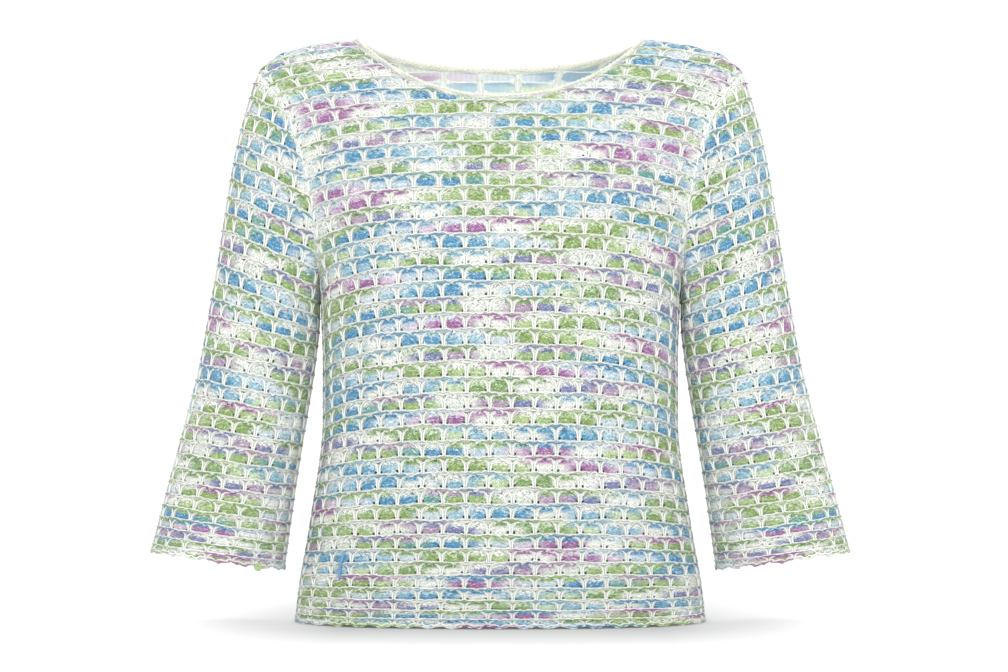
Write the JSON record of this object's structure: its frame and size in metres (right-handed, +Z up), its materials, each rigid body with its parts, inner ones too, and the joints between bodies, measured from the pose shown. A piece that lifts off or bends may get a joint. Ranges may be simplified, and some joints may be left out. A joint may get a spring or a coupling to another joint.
{
  "type": "open-knit sweater",
  "caption": "Hollow open-knit pullover in its worn form: wide neck with a narrow band, set-in three-quarter sleeves widening to the cuffs, and a straight body with a scalloped hem.",
  "frame": {"origin": "midway between the two high shoulder points, where the garment hangs on its wearer", "axes": "+Z up, the front faces -Y, +X is the wearer's left and the viewer's right"},
  "size_m": [0.6596, 0.2009, 0.5534],
  "materials": {
    "knit": "space-dyed open knit of soft matt yarn",
    "band_knit": "fine plain knit, cream"
  },
  "bodies": {
    "root": {"front": "knit", "back": "knit", "sleeve_left": "knit", "sleeve_right": "knit", "neckband": "band_knit"}
  },
  "joints": []
}
